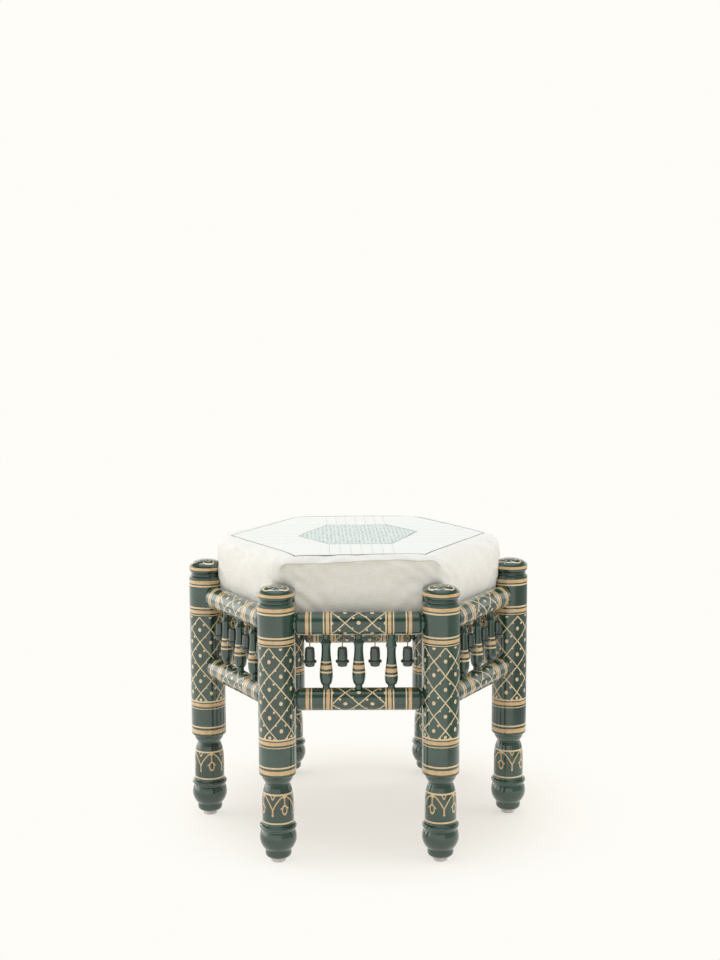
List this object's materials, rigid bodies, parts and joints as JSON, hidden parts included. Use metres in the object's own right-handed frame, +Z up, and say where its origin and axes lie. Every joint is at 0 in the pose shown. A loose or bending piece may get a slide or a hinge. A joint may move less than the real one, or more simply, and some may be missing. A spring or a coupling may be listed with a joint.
{
  "type": "pouf",
  "caption": "Hexagonal turned-wood stool in dark green lacquer, with spindle sides, small hanging bells and a lift-out cushioned seat.",
  "frame": {"origin": "on the floor under the centre of the stool", "axes": "+Z up along the stool's six-fold axis, +X to the right towards a leg, -Y to the front towards the middle of a side"},
  "size_m": [0.468, 0.4118, 0.3995],
  "materials": {
    "lacquer_legs": "glossy dark green lacquer over turned hardwood, with cream painted bands and lattice",
    "lacquer_rails": "glossy dark green lacquer over turned hardwood, with cream painted bands and lattice",
    "lacquer_spindles": "glossy dark green lacquer over turned hardwood, with cream painted bands",
    "lacquer_bells": "glossy dark green lacquer over turned hardwood, with a brass wire loop",
    "brass_wire": "aged brass wire",
    "glide_plastic": "moulded pale plastic",
    "steel": "bright zinc-plated wire",
    "plywood": "sanded birch plywood",
    "foam": "open-cell upholstery foam",
    "cotton_cover": "undyed cotton and linen plain weave with coloured stitching"
  },
  "bodies": {
    "frame": {"leg_right": "lacquer_legs", "leg_back_right": "lacquer_legs", "leg_back_left": "lacquer_legs", "leg_left": "lacquer_legs", "leg_front_left": "lacquer_legs", "leg_front_right": "lacquer_legs", "rail_upper_back_right": "lacquer_rails", "rail_upper_back": "lacquer_rails", "rail_upper_back_left": "lacquer_rails", "rail_upper_front_left": "lacquer_rails", "rail_upper_front": "lacquer_rails", "rail_upper_front_right": "lacquer_rails", "rail_lower_back_right": "lacquer_rails", "rail_lower_back": "lacquer_rails", "rail_lower_back_left": "lacquer_rails", "rail_lower_front_left": "lacquer_rails", "rail_lower_front": "lacquer_rails", "rail_lower_front_right": "lacquer_rails", "spindles_back_right": "lacquer_spindles", "spindles_back": "lacquer_spindles", "spindles_back_left": "lacquer_spindles", "spindles_front_left": "lacquer_spindles", "spindles_front": "lacquer_spindles", "spindles_front_right": "lacquer_spindles", "rail_eyes": "brass_wire", "glides": "glide_plastic", "glide_nails": "steel"},
    "seat": {"seat_board": "plywood", "seat_foam": "foam", "seat_cover": "cotton_cover", "seat_staples": "steel"},
    "bell_back_right_1": {"bell_back_right_1": "lacquer_bells"},
    "bell_back_right_2": {"bell_back_right_2": "lacquer_bells"},
    "bell_back_right_3": {"bell_back_right_3": "lacquer_bells"},
    "bell_back_right_4": {"bell_back_right_4": "lacquer_bells"},
    "bell_back_1": {"bell_back_1": "lacquer_bells"},
    "bell_back_2": {"bell_back_2": "lacquer_bells"},
    "bell_back_3": {"bell_back_3": "lacquer_bells"},
    "bell_back_4": {"bell_back_4": "lacquer_bells"},
    "bell_back_left_1": {"bell_back_left_1": "lacquer_bells"},
    "bell_back_left_2": {"bell_back_left_2": "lacquer_bells"},
    "bell_back_left_3": {"bell_back_left_3": "lacquer_bells"},
    "bell_back_left_4": {"bell_back_left_4": "lacquer_bells"},
    "bell_front_left_1": {"bell_front_left_1": "lacquer_bells"},
    "bell_front_left_2": {"bell_front_left_2": "lacquer_bells"},
    "bell_front_left_3": {"bell_front_left_3": "lacquer_bells"},
    "bell_front_left_4": {"bell_front_left_4": "lacquer_bells"},
    "bell_front_1": {"bell_front_1": "lacquer_bells"},
    "bell_front_2": {"bell_front_2": "lacquer_bells"},
    "bell_front_3": {"bell_front_3": "lacquer_bells"},
    "bell_front_4": {"bell_front_4": "lacquer_bells"},
    "bell_front_right_1": {"bell_front_right_1": "lacquer_bells"},
    "bell_front_right_2": {"bell_front_right_2": "lacquer_bells"},
    "bell_front_right_3": {"bell_front_right_3": "lacquer_bells"},
    "bell_front_right_4": {"bell_front_right_4": "lacquer_bells"}
  },
  "joints": [
    {"name": "bell_back_right_1_swing", "type": "hinge", "parent": "frame", "child": "bell_back_right_1", "pos_m": [0.1887, 0.03689, 0.2924], "axis": [0.5, -0.866, 0], "range_deg": [-105, 105]},
    {"name": "bell_back_right_2_swing", "type": "hinge", "parent": "frame", "child": "bell_back_right_2", "pos_m": [0.1679, 0.07292, 0.2924], "axis": [0.5, -0.866, 0], "range_deg": [-105, 105]},
    {"name": "bell_back_right_3_swing", "type": "hinge", "parent": "frame", "child": "bell_back_right_3", "pos_m": [0.1471, 0.10895, 0.2924], "axis": [0.5, -0.866, 0], "range_deg": [-105, 105]},
    {"name": "bell_back_right_4_swing", "type": "hinge", "parent": "frame", "child": "bell_back_right_4", "pos_m": [0.1263, 0.14497, 0.2924], "axis": [0.5, -0.866, 0], "range_deg": [-105, 105]},
    {"name": "bell_back_1_swing", "type": "hinge", "parent": "frame", "child": "bell_back_1", "pos_m": [0.0624, 0.18187, 0.2924], "axis": [1, 0, 0], "range_deg": [-105, 105]},
    {"name": "bell_back_2_swing", "type": "hinge", "parent": "frame", "child": "bell_back_2", "pos_m": [0.0208, 0.18187, 0.2924], "axis": [1, 0, 0], "range_deg": [-105, 105]},
    {"name": "bell_back_3_swing", "type": "hinge", "parent": "frame", "child": "bell_back_3", "pos_m": [-0.0208, 0.18187, 0.2924], "axis": [1, 0, 0], "range_deg": [-105, 105]},
    {"name": "bell_back_4_swing", "type": "hinge", "parent": "frame", "child": "bell_back_4", "pos_m": [-0.0624, 0.18187, 0.2924], "axis": [1, 0, 0], "range_deg": [-105, 105]},
    {"name": "bell_back_left_1_swing", "type": "hinge", "parent": "frame", "child": "bell_back_left_1", "pos_m": [-0.1263, 0.14497, 0.2924], "axis": [0.5, 0.866, 0], "range_deg": [-105, 105]},
    {"name": "bell_back_left_2_swing", "type": "hinge", "parent": "frame", "child": "bell_back_left_2", "pos_m": [-0.1471, 0.10895, 0.2924], "axis": [0.5, 0.866, 0], "range_deg": [-105, 105]},
    {"name": "bell_back_left_3_swing", "type": "hinge", "parent": "frame", "child": "bell_back_left_3", "pos_m": [-0.1679, 0.07292, 0.2924], "axis": [0.5, 0.866, 0], "range_deg": [-105, 105]},
    {"name": "bell_back_left_4_swing", "type": "hinge", "parent": "frame", "child": "bell_back_left_4", "pos_m": [-0.1887, 0.03689, 0.2924], "axis": [0.5, 0.866, 0], "range_deg": [-105, 105]},
    {"name": "bell_front_left_1_swing", "type": "hinge", "parent": "frame", "child": "bell_front_left_1", "pos_m": [-0.1887, -0.03689, 0.2924], "axis": [-0.5, 0.866, 0], "range_deg": [-105, 105]},
    {"name": "bell_front_left_2_swing", "type": "hinge", "parent": "frame", "child": "bell_front_left_2", "pos_m": [-0.1679, -0.07292, 0.2924], "axis": [-0.5, 0.866, 0], "range_deg": [-105, 105]},
    {"name": "bell_front_left_3_swing", "type": "hinge", "parent": "frame", "child": "bell_front_left_3", "pos_m": [-0.1471, -0.10895, 0.2924], "axis": [-0.5, 0.866, 0], "range_deg": [-105, 105]},
    {"name": "bell_front_left_4_swing", "type": "hinge", "parent": "frame", "child": "bell_front_left_4", "pos_m": [-0.1263, -0.14497, 0.2924], "axis": [-0.5, 0.866, 0], "range_deg": [-105, 105]},
    {"name": "bell_front_1_swing", "type": "hinge", "parent": "frame", "child": "bell_front_1", "pos_m": [-0.0624, -0.18187, 0.2924], "axis": [-1, 0, 0], "range_deg": [-105, 105]},
    {"name": "bell_front_2_swing", "type": "hinge", "parent": "frame", "child": "bell_front_2", "pos_m": [-0.0208, -0.18187, 0.2924], "axis": [-1, 0, 0], "range_deg": [-105, 105]},
    {"name": "bell_front_3_swing", "type": "hinge", "parent": "frame", "child": "bell_front_3", "pos_m": [0.0208, -0.18187, 0.2924], "axis": [-1, 0, 0], "range_deg": [-105, 105]},
    {"name": "bell_front_4_swing", "type": "hinge", "parent": "frame", "child": "bell_front_4", "pos_m": [0.0624, -0.18187, 0.2924], "axis": [-1, 0, 0], "range_deg": [-105, 105]},
    {"name": "bell_front_right_1_swing", "type": "hinge", "parent": "frame", "child": "bell_front_right_1", "pos_m": [0.1263, -0.14497, 0.2924], "axis": [-0.5, -0.866, 0], "range_deg": [-105, 105]},
    {"name": "bell_front_right_2_swing", "type": "hinge", "parent": "frame", "child": "bell_front_right_2", "pos_m": [0.1471, -0.10895, 0.2924], "axis": [-0.5, -0.866, 0], "range_deg": [-105, 105]},
    {"name": "bell_front_right_3_swing", "type": "hinge", "parent": "frame", "child": "bell_front_right_3", "pos_m": [0.1679, -0.07292, 0.2924], "axis": [-0.5, -0.866, 0], "range_deg": [-105, 105]},
    {"name": "bell_front_right_4_swing", "type": "hinge", "parent": "frame", "child": "bell_front_right_4", "pos_m": [0.1887, -0.03689, 0.2924], "axis": [-0.5, -0.866, 0], "range_deg": [-105, 105]},
    {"name": "seat_lift", "type": "slide", "parent": "frame", "child": "seat", "axis": [0, 0, 1], "range_m": [0, 0.09]}
  ]
}
